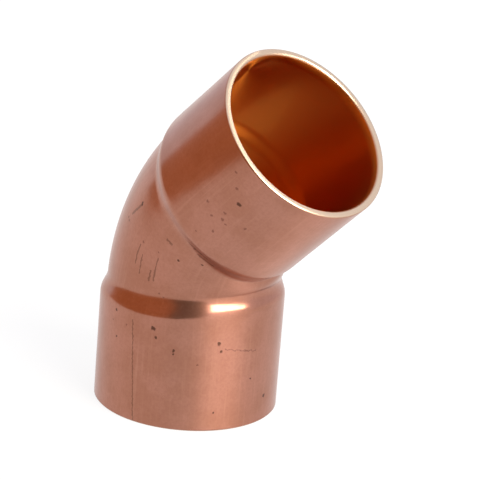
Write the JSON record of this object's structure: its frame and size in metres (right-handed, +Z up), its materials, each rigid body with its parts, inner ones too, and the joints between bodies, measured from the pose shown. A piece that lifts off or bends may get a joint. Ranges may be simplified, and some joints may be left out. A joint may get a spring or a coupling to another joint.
{
  "type": "forty-five degree copper elbow",
  "caption": "Forty-five degree copper tube elbow with a solder socket at each end.",
  "frame": {"origin": "centre of the lower socket's mouth, on the plane it stands on", "axes": "+Z up the lower socket's axis; the bend lies in the XZ plane and turns towards +X"},
  "size_m": [0.0373, 0.024, 0.0492],
  "materials": {
    "copper": "drawn copper, satin, with fine marks from forming"
  },
  "bodies": {
    "root": {"elbow": "copper"}
  },
  "joints": []
}
